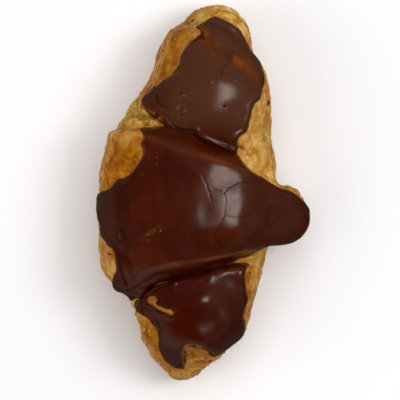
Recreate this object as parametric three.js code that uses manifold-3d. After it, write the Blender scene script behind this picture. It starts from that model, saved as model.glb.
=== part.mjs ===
// A chocolate-iced butter croissant, built the way the real one is: one baked roll of dough, and three
// coats of set chocolate poured over it.
//
// Millimetres, +Z up, +Y along the roll. The origin is on the table, under the middle of the roll.
// The roll is a long triangle of dough wound from its wide end. Three of its turns show: the inner turn at
// the two tips, the second turn at the shoulders, and the last turn, whose point stands out as a tongue.
import * as THREE from "three";
import { mergeVertices } from "three/addons/utils/BufferGeometryUtils.js";
import Module from "manifold-3d";

const wasm = await Module();
wasm.setup();

// ---- Driving dimensions ----------------------------------------------------------------------------------
const ROLL_LENGTH = 160; // tip to tip
const HALF_LENGTH = ROLL_LENGTH / 2;
const BELLY_SHARE = 0.43; // the roll is widest at this share of its height
const ROUNDNESS = 2.25; // 2 is an ellipse; a little more is plump
const TIP_CAP = 12; // how far the inner turn takes to close at a tip
const SHOULDER_LIP = 6; // how far the second turn takes to curl in at its edges
const LIP_SHARE = 0.8; // its size at the very edge, where it meets the inner turn
const LAST_TURN_ROUNDNESS = 2.6; // a flat band of dough with rounded edges
const ICING_GAP = 0.3; // between the pastry and its icing
const ICING_THICKNESS = 1.4;
const ICING_DEPTH = 75; // height of the block that cuts a coat to its outline
const COARSE = { innerRings: 26, secondRings: 30, lastRings: 34, around: 40, bandAround: 28 };
const TIP_MARGIN = 0.35; // how far the first and last rings stay from the exact tips, in rings
const OUTLINE_STEPS = 2; // how many short lines an outline takes from one of its points to the next
const SAME_POINT = 1e-4; // points closer than this are one point

// ---- The three turns of dough, as stations ---------------------------------------------------------------
// Each row of a turn: place along the roll, left edge, right edge, top, underside (below 0 is trimmed flat).
const INNER_TURN = [
  [-80, -18.5, 1.5, 24, 4],
  [-75, -18.6, 1.6, 26, 3],
  [-71, -21.4, 4.4, 29, 2],
  [-66, -23.5, 10.5, 33, 0.5],
  [-50, -24, 15, 36, -2],
  [0, -28, 22, 38, -3],
  [50, -17, 20, 37, -2],
  [61, -15.5, 20, 35.5, -0.5],
  [69, -11.5, 19.6, 32.5, 1.5],
  [74, -9, 18.6, 30.5, 3],
  [80, -6.5, 18.5, 28, 4],
];
const SECOND_TURN = [
  [-70, -22, 6, 31, 1],
  [-66, -24.4, 10.5, 36, 0],
  [-62, -25.7, 15.2, 39.5, -1],
  [-54, -27.4, 19.3, 43.5, -2.5],
  [-46, -31.6, 20.9, 44.5, -3],
  [-38, -35, 22.9, 43.5, -3],
  [-30, -36.5, 25, 41.5, -3],
  [-20, -37, 27.5, 41, -3],
  [0, -37.5, 30.3, 42, -3],
  [14, -37.5, 30, 42.5, -3],
  [24, -37.3, 29.3, 43.5, -3],
  [31, -35.5, 29.3, 46, -3],
  [40, -29.2, 28.6, 47.5, -3],
  [48, -23.7, 26.2, 46.5, -2.5],
  [56, -20.6, 22.4, 43.5, -1.5],
  [62, -18.3, 19.4, 40.5, -0.5],
  [68, -15.2, 19, 38, 1],
  [73, -9, 17, 36, 2],
];
// Where the second turn ends, at its left side, its crest and its right side. The edges run aslant.
const SECOND_TURN_ENDS = { low: [-67.5, -69.5, -65], high: [71, 69, 60.5] };

// Each row of the last turn, from under the left side, over the crest, to the tongue's tip: the middle of
// the dough (x, z), its half thickness, and its two edges along the roll.
const LAST_TURN = [
  [-17, -3, 4, -27, 13],
  [-30, 4, 6, -31, 17],
  [-36, 12, 6.5, -35.5, 20.5],
  [-37.4, 22, 6.6, -38.5, 23.5],
  [-33.2, 32.5, 6.8, -41, 26.5],
  [-23.5, 40, 7.2, -41, 27.2],
  [-9, 43.2, 7.1, -35.5, 23.6],
  [6, 41.2, 7, -31, 18.8],
  [18.5, 35, 6.6, -26.5, 11.4],
  [28, 27.8, 6, -22.2, 4.2],
  [35, 22.9, 5.4, -20.4, 1.3],
  [40.2, 20, 4.3, -18.2, -2.4],
  [42.9, 18.7, 1.6, -14.4, -6.4],
];
// The tongue is the last turn from this row on. The band under it is this wide along the roll, about this
// middle, and its top is this far under the middle of the tongue's dough.
const TONGUE = { firstRow: 8, bandWidth: 60, bandMiddle: -8, underMiddle: 1 };

// ---- The outlines of the three coats, seen from above ----------------------------------------------------
const UPPER_COAT = [
  [6.5, 74], [13, 70.8], [17.5, 67], [22, 61.5], [26.5, 56], [29, 50], [27, 44], [24, 39.5],
  [19.8, 32], [18, 25.6], [14.8, 21.5], [13.2, 17], [6, 18.6], [-2.5, 21.8], [-10, 25.6],
  [-18, 29.5], [-24, 33.4], [-26.3, 38.4], [-20.5, 44], [-12.5, 50], [-9.8, 57], [-6, 62.5],
  [-2.5, 66.5], [-1.5, 71.5],
];
const MIDDLE_COAT = [
  [-27, 25.5], [-17, 26.2], [-6, 22.4], [4, 17.6], [13.5, 14.6], [19.8, 8.6], [25.5, 6.2],
  [32, 4], [42, 3], [52, -4], [52, -20], [42, -26], [30, -25.5], [21, -24.6], [11, -28.4],
  [-1.5, -32], [-14, -34.4], [-22, -38.4], [-26.5, -44.4], [-31.5, -44], [-36.5, -44],
  [-39.5, -39], [-36.8, -32], [-39, -23.5], [-44, -19], [-52, -15], [-52, -4], [-44.4, -0.2],
  [-36.6, 5], [-29, 10.5], [-25.6, 17], [-26, 22],
];
const LOWER_COAT = [
  [-22.4, -42], [-18, -38.4], [-7.3, -36], [3, -33], [12.3, -30.6], [19.6, -30.4], [18, -37],
  [18.7, -45], [17.3, -52], [19.5, -57], [19.5, -62], [14.5, -66.5], [8, -69.5], [3, -68.6],
  [-1.5, -65.6], [-7, -65], [-7.2, -70], [-9, -74.4], [-16, -71.4], [-18.8, -65], [-20, -57],
  [-25.5, -51.8], [-30, -50], [-29.5, -47.2], [-25, -46.6],
];
// How far down each coat runs at the outside of the roll.
const DRIP_LINES = { upper: 20, middle: 15.5, lower: 17 };

// ---- Helpers ---------------------------------------------------------------------------------------------

// A smooth curve through a table's rows: a function from its first column to one of the other columns.
function along(rows, column) {
  return (at) => {
    const last = rows.length - 2;
    let i = rows.findIndex((row) => row[0] > at) - 1;
    if (i < 0) i = at <= rows[0][0] ? 0 : last;
    const [a, b] = [rows[i], rows[i + 1]];
    const [before, after] = [rows[Math.max(i - 1, 0)], rows[Math.min(i + 2, last + 1)]];
    const span = b[0] - a[0];
    const t = THREE.MathUtils.clamp((at - a[0]) / span, 0, 1);
    const slopeA = ((b[column] - before[column]) / (b[0] - before[0])) * span;
    const slopeB = ((after[column] - a[column]) / (after[0] - a[0])) * span;
    return (
      (2 * t ** 3 - 3 * t ** 2 + 1) * a[column] +
      (t ** 3 - 2 * t ** 2 + t) * slopeA +
      (3 * t ** 2 - 2 * t ** 3) * b[column] +
      (t ** 3 - t ** 2) * slopeB
    );
  };
}

// Cosine and sine of an angle on a squarer circle.
function plump(angle, roundness) {
  const c = Math.cos(angle);
  const s = Math.sin(angle);
  return [
    Math.sign(c) * Math.abs(c) ** (2 / roundness),
    Math.sign(s) * Math.abs(s) ** (2 / roundness),
  ];
}

// A quarter-round rise from 0 to 1 as distance goes from 0 to reach.
function quarterRound(distance, reach) {
  const t = THREE.MathUtils.clamp(distance / reach, 0, 1);
  return Math.sqrt(1 - (1 - t) ** 2);
}

// A closed skin over rings of points, with a fan at each end.
function skin(rings) {
  const around = rings[0].length;
  const corners = rings.flat();
  const middles = [rings[0], rings[rings.length - 1]].map((ring) =>
    ring.reduce((sum, p) => sum.add(p), new THREE.Vector3()).divideScalar(around),
  );
  const positions = [...corners, ...middles].flatMap((p) => p.toArray());
  const faces = [];
  const at = (ring, i) => ring * around + (i % around);
  const lastRing = rings.length - 1;
  for (let i = 0; i < around; i++) {
    for (let ring = 0; ring < lastRing; ring++) {
      faces.push(at(ring, i), at(ring, i + 1), at(ring + 1, i + 1));
      faces.push(at(ring, i), at(ring + 1, i + 1), at(ring + 1, i));
    }
    faces.push(corners.length, at(0, i + 1), at(0, i));
    faces.push(corners.length + 1, at(lastRing, i), at(lastRing, i + 1));
  }
  const geometry = new THREE.BufferGeometry();
  geometry.setAttribute("position", new THREE.Float32BufferAttribute(positions, 3));
  geometry.setIndex(faces);
  return geometry;
}

// A closed geometry as a manifold-3d solid, turned the right way out if it was inside out.
function solid(geometry) {
  geometry.deleteAttribute("normal");
  geometry.deleteAttribute("uv");
  const merged = mergeVertices(geometry, SAME_POINT);
  const build = (triVerts) =>
    new wasm.Manifold(
      new wasm.Mesh({ numProp: 3, vertProperties: merged.attributes.position.array, triVerts }),
    );
  const triVerts = new Uint32Array(merged.index.array);
  const made = build(triVerts);
  return made.volume() > 0 ? made : build(triVerts.reverse());
}

// A solid as a geometry that a mesh can show.
function geometryOf(made) {
  const { vertProperties, triVerts } = made.getMesh();
  const geometry = new THREE.BufferGeometry();
  geometry.setAttribute("position", new THREE.BufferAttribute(vertProperties, 3));
  geometry.setIndex(new THREE.BufferAttribute(triVerts, 1));
  geometry.computeVertexNormals();
  return geometry;
}

// ---- The pastry ------------------------------------------------------------------------------------------

// A point on a wound turn at an angle round the roll, grown outwards, and shrunk near the turn's ends.
function woundPoint(turn, angle, y, grow, share) {
  const [c, s] = plump(angle, ROUNDNESS);
  const [left, right, top, under] = turn.map((column) => column(y));
  const belly = top * BELLY_SHARE;
  const halfWidth = ((right - left) / 2 + grow) * share;
  const rise = s > 0 ? top - belly + grow : belly - under + grow;
  return new THREE.Vector3((left + right) / 2 + halfWidth * c, y, belly + rise * share * s);
}

function innerTurn(grow) {
  const turn = [1, 2, 3, 4].map((column) => along(INNER_TURN, column));
  const half = HALF_LENGTH + grow;
  const rings = [];
  for (let i = 0; i <= COARSE.innerRings; i++) {
    // Rings crowd towards the tips, where the roll closes.
    const place = (i + TIP_MARGIN) / (COARSE.innerRings + 2 * TIP_MARGIN);
    const y = -half * Math.cos(Math.PI * place);
    const share = quarterRound(half - Math.abs(y), TIP_CAP);
    rings.push(
      Array.from({ length: COARSE.around }, (_, j) =>
        woundPoint(turn, (2 * Math.PI * j) / COARSE.around, y, grow, share),
      ),
    );
  }
  return solid(skin(rings));
}

// The place where the second turn ends at an angle: left, crest and right are joined smoothly, and the
// underside follows its two sides.
function endAt([left, crest, right], angle) {
  const side = (left + right) / 2 + ((right - left) / 2) * Math.cos(angle);
  const lift = Math.max(0, Math.sin(angle)) ** 2;
  return side + (crest - (left + right) / 2) * lift;
}

function secondTurn(grow) {
  const turn = [1, 2, 3, 4].map((column) => along(SECOND_TURN, column));
  const rings = [];
  for (let i = 0; i <= COARSE.secondRings; i++) {
    const ring = [];
    const v = (1 - Math.cos((Math.PI * i) / COARSE.secondRings)) / 2;
    for (let j = 0; j < COARSE.around; j++) {
      const angle = (2 * Math.PI * j) / COARSE.around;
      const low = endAt(SECOND_TURN_ENDS.low, angle) - grow;
      const high = endAt(SECOND_TURN_ENDS.high, angle) + grow;
      const y = THREE.MathUtils.lerp(low, high, v);
      const curl = quarterRound(Math.min(y - low, high - y), SHOULDER_LIP);
      ring.push(woundPoint(turn, angle, y, grow, THREE.MathUtils.lerp(LIP_SHARE, 1, curl)));
    }
    rings.push(ring);
  }
  return solid(skin(rings));
}

function lastTurn(grow) {
  const middle = new THREE.CatmullRomCurve3(
    LAST_TURN.map(([x, z]) => new THREE.Vector3(x, 0, z)),
    false,
    "catmullrom",
  );
  const sizes = new THREE.CatmullRomCurve3(
    LAST_TURN.map(([, , half, low, high]) => new THREE.Vector3(half, low, high)),
    false,
    "catmullrom",
  );
  const alongRoll = new THREE.Vector3(0, 1, 0);
  const rings = [];
  for (let i = 0; i <= COARSE.lastRings; i++) {
    const t = i / COARSE.lastRings;
    const tangent = middle.getTangent(t);
    const outwards = new THREE.Vector3().crossVectors(tangent, alongRoll).negate();
    const size = sizes.getPoint(t);
    // Growing also moves the tip on along its own direction.
    const centre = middle.getPoint(t).addScaledVector(tangent, grow * t ** 8);
    const ring = [];
    for (let j = 0; j < COARSE.bandAround; j++) {
      const [c, s] = plump((2 * Math.PI * j) / COARSE.bandAround, LAST_TURN_ROUNDNESS);
      const y = (size.y + size.z) / 2 + ((size.z - size.y) / 2 + grow) * c;
      ring.push(centre.clone().setY(y).addScaledVector(outwards, (size.x + grow) * s));
    }
    rings.push(ring);
  }
  return solid(skin(rings));
}

// The floor-side of the roll is flat, because it was baked on a tray.
function trayBlock() {
  const block = new THREE.BoxGeometry(2 * ROLL_LENGTH, 2 * ROLL_LENGTH, ROLL_LENGTH);
  return solid(block.translate(0, 0, -ROLL_LENGTH / 2));
}

function wholeRoll(grow) {
  return innerTurn(grow).add(secondTurn(grow)).add(lastTurn(grow));
}

// ---- The icing -------------------------------------------------------------------------------------------

// A block with a coat's outline, from its drip line upwards.
function outlineBlock(outline, dripLine) {
  const edge = new THREE.CatmullRomCurve3(
    outline.map(([x, y]) => new THREE.Vector3(x, y, 0)),
    true,
    "centripetal",
  );
  const shape = new THREE.Shape(edge.getPoints(outline.length * OUTLINE_STEPS).slice(0, -1));
  const block = new THREE.ExtrudeGeometry(shape, { depth: ICING_DEPTH, bevelEnabled: false });
  return solid(block.translate(0, 0, dripLine));
}

// Everything under the tongue, where no icing runs.
function underTongue() {
  const rows = LAST_TURN.slice(TONGUE.firstRow);
  const [, tipHeight] = rows[rows.length - 1];
  const shape = new THREE.Shape();
  shape.moveTo(rows[0][0], -TONGUE.underMiddle);
  rows.forEach(([x, z]) => shape.lineTo(x, z - TONGUE.underMiddle));
  shape.lineTo(ROLL_LENGTH, tipHeight - TONGUE.underMiddle);
  shape.lineTo(ROLL_LENGTH, -TONGUE.underMiddle);
  const block = new THREE.ExtrudeGeometry(shape, { depth: TONGUE.bandWidth, bevelEnabled: false });
  block.rotateX(Math.PI / 2);
  return solid(block.translate(0, TONGUE.bandWidth / 2 + TONGUE.bandMiddle, 0));
}

// ---- Materials -------------------------------------------------------------------------------------------

const pastryFinish = new THREE.MeshStandardMaterial({ color: 0xc0873c, roughness: 0.6, metalness: 0 });
const icingFinish = new THREE.MeshStandardMaterial({ color: 0x3c2019, roughness: 0.3, metalness: 0 });

function piece(name, made, material) {
  const mesh = new THREE.Mesh(geometryOf(made), material);
  mesh.name = name;
  return mesh;
}

// ---- The croissant ---------------------------------------------------------------------------------------

const croissant = new THREE.Group();
const pastry = wholeRoll(0).subtract(trayBlock());
const poured = wholeRoll(ICING_GAP + ICING_THICKNESS).subtract(wholeRoll(ICING_GAP)).subtract(underTongue());
const coats = { upper: UPPER_COAT, middle: MIDDLE_COAT, lower: LOWER_COAT };

croissant.add(piece("pastry", pastry, pastryFinish));
for (const [place, outline] of Object.entries(coats)) {
  const coat = poured.intersect(outlineBlock(outline, DRIP_LINES[place]));
  // Crumbs of icing that the outline cuts off from the coat are left out.
  const largest = coat.decompose().sort((a, b) => b.volume() - a.volume())[0];
  croissant.add(piece(`icing_${place}`, largest, icingFinish));
}

export default croissant;
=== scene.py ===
# %% [markdown]
# # A chocolate-iced croissant
# The real thing is a strip of layered dough, rolled up from its wide end and baked in one piece.
# Its last turn is a flap that runs across the middle and ends in a tongue over one side.
# Melted chocolate was poured on from above and set in three coats, parted at the two seams.
#
# The CAD frame holds the croissant's size and its big forms, and it stays as it is.
# This lesson reads the frame as a cloud of distances to its surface, models the baked skin and the
# chocolate in that cloud, and turns the result into meshes. Dough and chocolate have no straight
# edges, and distances are easy to swell, melt together and cut, so that suits them better than
# moving the points of a mesh.

# %% The frame
import math

import bmesh
import bpy
import numpy as np
import openvdb
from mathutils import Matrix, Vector


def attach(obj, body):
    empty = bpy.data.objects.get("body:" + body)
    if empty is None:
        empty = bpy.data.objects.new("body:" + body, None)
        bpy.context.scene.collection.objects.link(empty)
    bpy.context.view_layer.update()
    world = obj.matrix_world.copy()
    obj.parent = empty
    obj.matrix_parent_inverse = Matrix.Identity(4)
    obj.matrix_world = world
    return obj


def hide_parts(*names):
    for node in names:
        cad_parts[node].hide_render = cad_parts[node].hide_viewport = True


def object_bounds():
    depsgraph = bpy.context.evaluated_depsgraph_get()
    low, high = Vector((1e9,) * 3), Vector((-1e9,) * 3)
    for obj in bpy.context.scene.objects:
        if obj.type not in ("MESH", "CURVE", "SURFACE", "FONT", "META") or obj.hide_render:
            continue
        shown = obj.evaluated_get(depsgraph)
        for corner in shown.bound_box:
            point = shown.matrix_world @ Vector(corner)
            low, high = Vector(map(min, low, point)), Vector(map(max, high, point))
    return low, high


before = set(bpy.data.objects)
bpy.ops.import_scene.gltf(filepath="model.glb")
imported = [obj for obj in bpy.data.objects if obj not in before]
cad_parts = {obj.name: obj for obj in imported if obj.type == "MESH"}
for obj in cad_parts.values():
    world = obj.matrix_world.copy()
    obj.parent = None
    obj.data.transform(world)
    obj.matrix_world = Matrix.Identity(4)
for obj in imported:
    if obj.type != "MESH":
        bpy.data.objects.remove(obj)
CAD_LOW, CAD_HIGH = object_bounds()
MM = 0.001  # the modelling is done in millimetres, and the meshes are in metres
BOX_LOW = np.array(CAD_LOW) / MM
BOX_HIGH = np.array(CAD_HIGH) / MM
print("croissant's box in mm:", BOX_LOW.round(1), BOX_HIGH.round(1))

# %% [markdown]
# ## Camera, light and table
# The croissant lies on a plain pale table and is seen straight from above, with its long side up
# the picture. A long lens high up keeps its tall middle from looking swollen.
#
# Set chocolate shows its shape mostly by what it mirrors, so the light is built around that. The
# window is the only lamp that the chocolate mirrors, and it makes the bluish highlights. Two wide
# soft boxes light the dough and the table but leave no reflection, as lamps behind a polarising
# filter do. The rest of the room only shows as reflections. Its ceiling is dark, so level chocolate
# stays deep brown. Its grey walls are lit at the upper right, its floor is faintly lit at the left,
# and a bright doorway stands at the lower left, so slopes get a sheen that depends on which way they
# face.

# %% Camera
CAMERA_HEIGHT = 1.2
VIEW_WIDTH = 0.1702  # how much of the table's width the picture shows
WAIST = 0.015  # the height of the croissant's widest outline above the table
VIEW_CENTRE = Vector((-0.0015, -0.0031, 0))

camera_data = bpy.data.cameras.new("camera")
camera_data.lens = camera_data.sensor_width * (CAMERA_HEIGHT - WAIST) / VIEW_WIDTH
camera = bpy.data.objects.new("camera", camera_data)
camera.location = VIEW_CENTRE + Vector((0, 0, CAMERA_HEIGHT))
bpy.context.scene.collection.objects.link(camera)
bpy.context.scene.camera = camera
bpy.context.scene.view_settings.view_transform = "Standard"
print(f"camera: {camera_data.lens:.0f} mm lens")

# %% [markdown]
# ## Short words for nodes
# The room, the finishes and the scattered flakes are all trees of nodes. Written out, a node takes
# a line to make and a line for each value and link. A few helpers do this instead, so that a tree
# reads like a sum.


# %% Node helpers
def add(tree, kind, inputs=None, **options):
    """One node of any tree. An input that is a socket is linked, any other value is set."""
    made = tree.nodes.new(kind if "Node" in kind else "ShaderNode" + kind)
    for name, value in options.items():
        setattr(made, name, value)
    for name, value in (inputs or {}).items():
        if isinstance(value, bpy.types.NodeSocket):
            tree.links.new(value, made.inputs[name])
        else:
            made.inputs[name].default_value = value
    return made


def maths(tree, operation, a, b=0.0, c=0.0):
    """The result of one Math node."""
    return add(tree, "Math", {0: a, 1: b, 2: c}, operation=operation).outputs[0]


def blend(tree, amount, a, b, most=1.0):
    """Colour a where the amount is 0, and b where it is 1, or as much of b as most says."""
    MIX_FACTOR, MIX_A, MIX_B, MIX_RESULT = 0, 6, 7, 2
    if most != 1.0:
        amount = maths(tree, "MULTIPLY", amount, most)
    mix = add(tree, "Mix", {MIX_FACTOR: amount, MIX_A: a, MIX_B: b}, data_type="RGBA")
    return mix.outputs[MIX_RESULT]


def ramp(tree, amount, *stops):
    """A colour along stops of (place, red, green, blue)."""
    made = add(tree, "ValToRGB", {"Fac": amount})
    elements = made.color_ramp.elements
    while len(elements) < len(stops):
        elements.new(1.0)
    for element, (place, *colour) in zip(elements, sorted(stops)):
        element.position = place
        element.color = (*colour, 1)
    return made.outputs["Color"]


def mask(tree, amount, start, end):
    """0 at start and 1 at end, smoothly."""
    made = add(tree, "MapRange", {"Value": amount, "From Min": start, "From Max": end},
               interpolation_type="SMOOTHSTEP")
    return made.outputs["Result"]


# %% Lamps
def soft_box(name, tilt, turn, distance, side, power, colour, mirrored):
    """A square light that faces the croissant, tilt degrees from overhead and turned about it."""
    data = bpy.data.lights.new(name, "AREA")
    data.size = side
    data.energy = power
    data.color = colour
    box = bpy.data.objects.new(name, data)
    lean, round_about = math.radians(tilt), math.radians(turn)
    away = Vector((math.sin(lean) * math.cos(round_about), math.sin(lean) * math.sin(round_about),
                   math.cos(lean)))
    box.location = away * distance
    box.rotation_euler = away.to_track_quat("Z", "Y").to_euler()
    box.visible_glossy = mirrored
    bpy.context.scene.collection.objects.link(box)


WHITE, ROSY, WARM = (1.0, 1.0, 1.0), (1.0, 0.97, 0.96), (1.0, 0.97, 0.93)
soft_box("window", tilt=36, turn=8, distance=1.1, side=0.42, power=4.3, colour=ROSY, mirrored=True)
soft_box("top_fill", tilt=18, turn=62, distance=1.6, side=2.0, power=20.5, colour=WHITE, mirrored=False)
soft_box("left_fill", tilt=58, turn=195, distance=1.6, side=1.6, power=13, colour=WARM, mirrored=False)

# %% The room, as reflections show it
world = bpy.data.worlds.new("room")
world.use_nodes = True
room = world.node_tree
direction = add(room, "TexCoord").outputs["Generated"]
up = add(room, "SeparateXYZ", {0: direction}).outputs["Z"]
height = maths(room, "MULTIPLY_ADD", up, 0.5, 0.5)  # 0 straight down, 0.5 level and 1 straight up


def lit_from(lean, dark, bright):
    """How lit a part of the room is: 0 where it lies dark far along a direction, 1 at bright."""
    along = add(room, "VectorMath", {0: direction, 1: lean}, operation="DOT_PRODUCT").outputs["Value"]
    lit = add(room, "MapRange", {"Value": along, "From Min": dark, "From Max": bright})
    return lit.outputs["Result"]


walls = ramp(room, height, (0.5, 0.05, 0.05, 0.04), (0.57, 0.20, 0.20, 0.16), (0.66, 0.30, 0.30, 0.23),
             (0.75, 0.18, 0.18, 0.14), (0.84, 0.04, 0.04, 0.03), (0.93, 0.01, 0.01, 0.01))
floor = ramp(room, height, (0.0, 0.02, 0.02, 0.02), (0.16, 0.03, 0.03, 0.02), (0.28, 0.16, 0.15, 0.11),
             (0.42, 0.16, 0.15, 0.11), (0.54, 0.0, 0.0, 0.0))
doorway = ramp(room, height, (0.42, 0.0, 0.0, 0.0), (0.52, 0.60, 0.56, 0.46), (0.70, 0.60, 0.56, 0.46),
               (0.82, 0.0, 0.0, 0.0))
BLACK = (0, 0, 0, 1)
walls = blend(room, lit_from((0.8, 0.5, -1.0), -1.1, -0.1), BLACK, walls)
floor = blend(room, lit_from((-0.9, -0.35, 0.0), -0.6, 0.7), BLACK, floor)
doorway = blend(room, lit_from((-0.5, -0.85, 0.0), 0.5, 0.85), BLACK, doorway)
seen = add(room, "VectorMath", {0: walls, 1: floor}, operation="ADD").outputs["Vector"]
seen = add(room, "VectorMath", {0: seen, 1: doorway}, operation="ADD").outputs["Vector"]
room.links.new(seen, room.nodes["Background"].inputs["Color"])
bpy.context.scene.world = world
print("room: walls, floor and doorway in", len(room.nodes), "nodes")

# %% The table
TABLE_REACH = 4.0  # metres to each side
TABLE_CORNERS = [(x * TABLE_REACH, y * TABLE_REACH, 0) for x, y in ((-1, -1), (1, -1), (1, 1), (-1, 1))]
table_mesh = bpy.data.meshes.new("table")
table_mesh.from_pydata(TABLE_CORNERS, [], [(0, 1, 2, 3)])
table = bpy.data.objects.new("table", table_mesh)
table.visible_glossy = False
bpy.context.scene.collection.objects.link(table)
table_paint = bpy.data.materials.new("table_paint")
table_paint.use_nodes = True
paint = table_paint.node_tree.nodes["Principled BSDF"]
paint.inputs["Base Color"].default_value = (0.95, 0.95, 0.98, 1)
paint.inputs["Roughness"].default_value = 0.8
table_mesh.materials.append(table_paint)

# %% [markdown]
# ## Distances on a grid
# Everything below works on blocks: a regular grid of numbers in a box. A number is the distance to
# a surface in millimetres, below zero inside it. Filling a block with a finer step, and making soft
# random clouds, both come down to the same thing, a cubic spline through a coarser grid. A spline
# works on one axis at a time, with four neighbours each, so it is quick for millions of points.


# %% Blocks
class Block:
    """Numbers on a regular grid: its lowest corner, its step on each axis, and the values."""

    def __init__(self, low, high, step):
        self.low = np.array(low, float)
        self.step = np.ones(3) * step
        self.shape = tuple(np.ceil((np.array(high) - self.low) / self.step).astype(int) + 1)
        self.values = np.zeros(self.shape, np.float32)

    def axis(self, k):
        return self.low[k] + self.step[k] * np.arange(self.shape[k])

    def like(self, other):
        """Fills this block from another one, along a cubic spline."""
        values = other.values
        for k in range(3):
            place = (self.axis(k) - other.low[k]) / other.step[k]
            first = np.floor(place).astype(int)
            t = place - first
            pulls = [(1 - t) ** 3, 3 * t**3 - 6 * t**2 + 4, 3 * (t + t**2 - t**3) + 1, t**3]
            total = np.float32(0)
            for n, pull in enumerate(pulls):
                rows = np.clip(first + n - 1, 0, other.shape[k] - 1)
                pull = (pull / 6).astype(np.float32).reshape([-1 if axis == k else 1 for axis in range(3)])
                total = total + pull * np.take(values, rows, axis=k)
            values = total
        self.values = values
        return self

    def grid(self):
        """The x, y and z of the grid's points, ready to be combined with the values."""
        x, y, z = (self.axis(k).astype(np.float32) for k in range(3))
        return x[:, None, None], y[None, :, None], z[None, None, :]

    def at(self, points):
        """The values at any points, straight between the grid's own."""
        place = (points - self.low) / self.step
        cell = np.clip(np.floor(place).astype(int), 0, np.array(self.shape) - 2)
        t = np.clip(place - cell, 0, 1)
        total = np.zeros(len(points))
        for corner in np.ndindex(2, 2, 2):
            share = np.prod(np.where(corner, t, 1 - t), axis=1)
            i, j, k = (cell + corner).T
            total += share * self.values[i, j, k]
        return total


def cloud(block, cell, seed):
    """A soft random field over a block, with lumps about one cell across and a spread of 1."""
    cell = np.ones(3) * cell
    lattice = Block(block.low - 2 * cell, block.low + block.step * block.shape + 2 * cell, cell)
    lattice.values = np.random.default_rng(seed).standard_normal(lattice.shape).astype(np.float32)
    field = Block(block.low, block.low, block.step)
    field.shape = block.shape
    field.like(lattice)
    return field.values / field.values.std()


def blur(block, spread):
    """The block with a bell-shaped blur of that spread in millimetres."""
    out = Block(block.low, block.low, block.step)
    out.shape, out.values = block.shape, block.values
    for k in range(3):
        reach = int(math.ceil(3 * spread / block.step[k]))
        shares = np.exp(-0.5 * (np.arange(-reach, reach + 1) * block.step[k] / spread) ** 2)
        padded = np.pad(out.values, [(reach, reach) if a == k else (0, 0) for a in range(3)], "edge")
        total = np.zeros(block.shape, np.float32)
        for i, share in enumerate(shares / shares.sum()):
            total += share * np.take(padded, range(i, i + block.shape[k]), axis=k)
        out.values = total
    return out


def ease(value, start, end):
    """Goes smoothly from 0 at start to 1 at end, and stays there."""
    t = np.clip((value - start) / (end - start), 0, 1)
    return t * t * (3 - 2 * t)


# %% [markdown]
# ## The big form
# The CAD roll is made of flat facets. Read as distances and blurred by about a facet, it becomes
# soft dough of the same size. A croissant also has what no facet shows: the seams between its turns
# are deep folds, each turn swells beside them, and the dough is slightly lumpy. Those are added here
# in one coarse block, because the chocolate has to follow them as well.


# %% The roll as distances
def distances_to(node, low, high, step, reach):
    """A block of distances to a CAD node's surface."""
    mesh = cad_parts[node].data
    corners = np.empty(len(mesh.vertices) * 3, np.float32)
    mesh.vertices.foreach_get("co", corners)
    mesh.calc_loop_triangles()
    faces = np.empty(len(mesh.loop_triangles) * 3, np.int32)
    mesh.loop_triangles.foreach_get("vertices", faces)
    welded, place = np.unique((corners.reshape(-1, 3) / MM).round(3), axis=0, return_inverse=True)
    grid = openvdb.FloatGrid.createLevelSetFromPolygons(
        welded.astype(np.float32), triangles=place.reshape(-1)[faces].reshape(-1, 3).astype(np.uint32),
        transform=openvdb.createLinearTransform(step), halfWidth=reach / step)
    block = Block(low, high, step)
    grid.copyToArray(block.values, ijk=tuple(int(v) for v in np.round(np.array(low) / step)))
    return block


MARGIN = 8.0  # the blocks' room around the croissant
ROOM_LOW, ROOM_HIGH = np.floor(BOX_LOW - MARGIN), np.ceil(BOX_HIGH + MARGIN)
ROLL_STEP, ROLL_REACH, FACET_BLUR = 1.0, 12.0, 0.8
roll = blur(distances_to("pastry", ROOM_LOW, ROOM_HIGH, ROLL_STEP, ROLL_REACH), FACET_BLUR)

FORM_STEP = 0.7
form = Block(ROOM_LOW, ROOM_HIGH, FORM_STEP).like(roll)
print("form block:", form.shape)


# %% Lines drawn from above
def flowing(points, closed=False, per_step=6):
    """A smooth line through points drawn from above."""
    points = np.array(points, float)
    if closed:
        before, after = np.roll(points, 1, axis=0), np.roll(points, -1, axis=0)
        beyond, starts = np.roll(points, -2, axis=0), points
    else:
        ends = np.vstack([2 * points[0] - points[1], points, 2 * points[-1] - points[-2]])
        before, starts, after, beyond = ends[:-3], ends[1:-2], ends[2:-1], ends[3:]
    t = (np.arange(per_step) / per_step)[None, :, None]
    p0, p1, p2, p3 = (p[:, None, :] for p in (before, starts, after, beyond))
    line = 0.5 * (2 * p1 + (p2 - p0) * t + (2 * p0 - 5 * p1 + 4 * p2 - p3) * t**2
                  + (3 * p1 - p0 - 3 * p2 + p3) * t**3)
    return np.vstack([line.reshape(-1, 2), points[:1] if closed else points[-1:]])


def distance_to_line(x, y, line):
    """How far points are from a line, seen from above."""
    nearest = np.full(np.broadcast(x, y).shape, np.inf, np.float32)
    for (ax, ay), (bx, by) in zip(line[:-1], line[1:]):
        dx, dy = bx - ax, by - ay
        t = np.clip(((x - ax) * dx + (y - ay) * dy) / max(dx * dx + dy * dy, 1e-9), 0, 1)
        nearest = np.minimum(nearest, (x - ax - t * dx) ** 2 + (y - ay - t * dy) ** 2)
    return np.sqrt(nearest)


def depth_inside(x, y, outline):
    """How far points are inside a closed outline seen from above, and below zero outside it."""
    inside = np.zeros(np.broadcast(x, y).shape, bool)
    for (ax, ay), (bx, by) in zip(outline[:-1], outline[1:]):
        if ay != by:
            crossing = (ay > y) != (by > y)
            inside ^= crossing & (x < ax + (y - ay) * (bx - ax) / (by - ay))
    return np.where(inside, 1, -1) * distance_to_line(x, y, outline)


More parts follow.
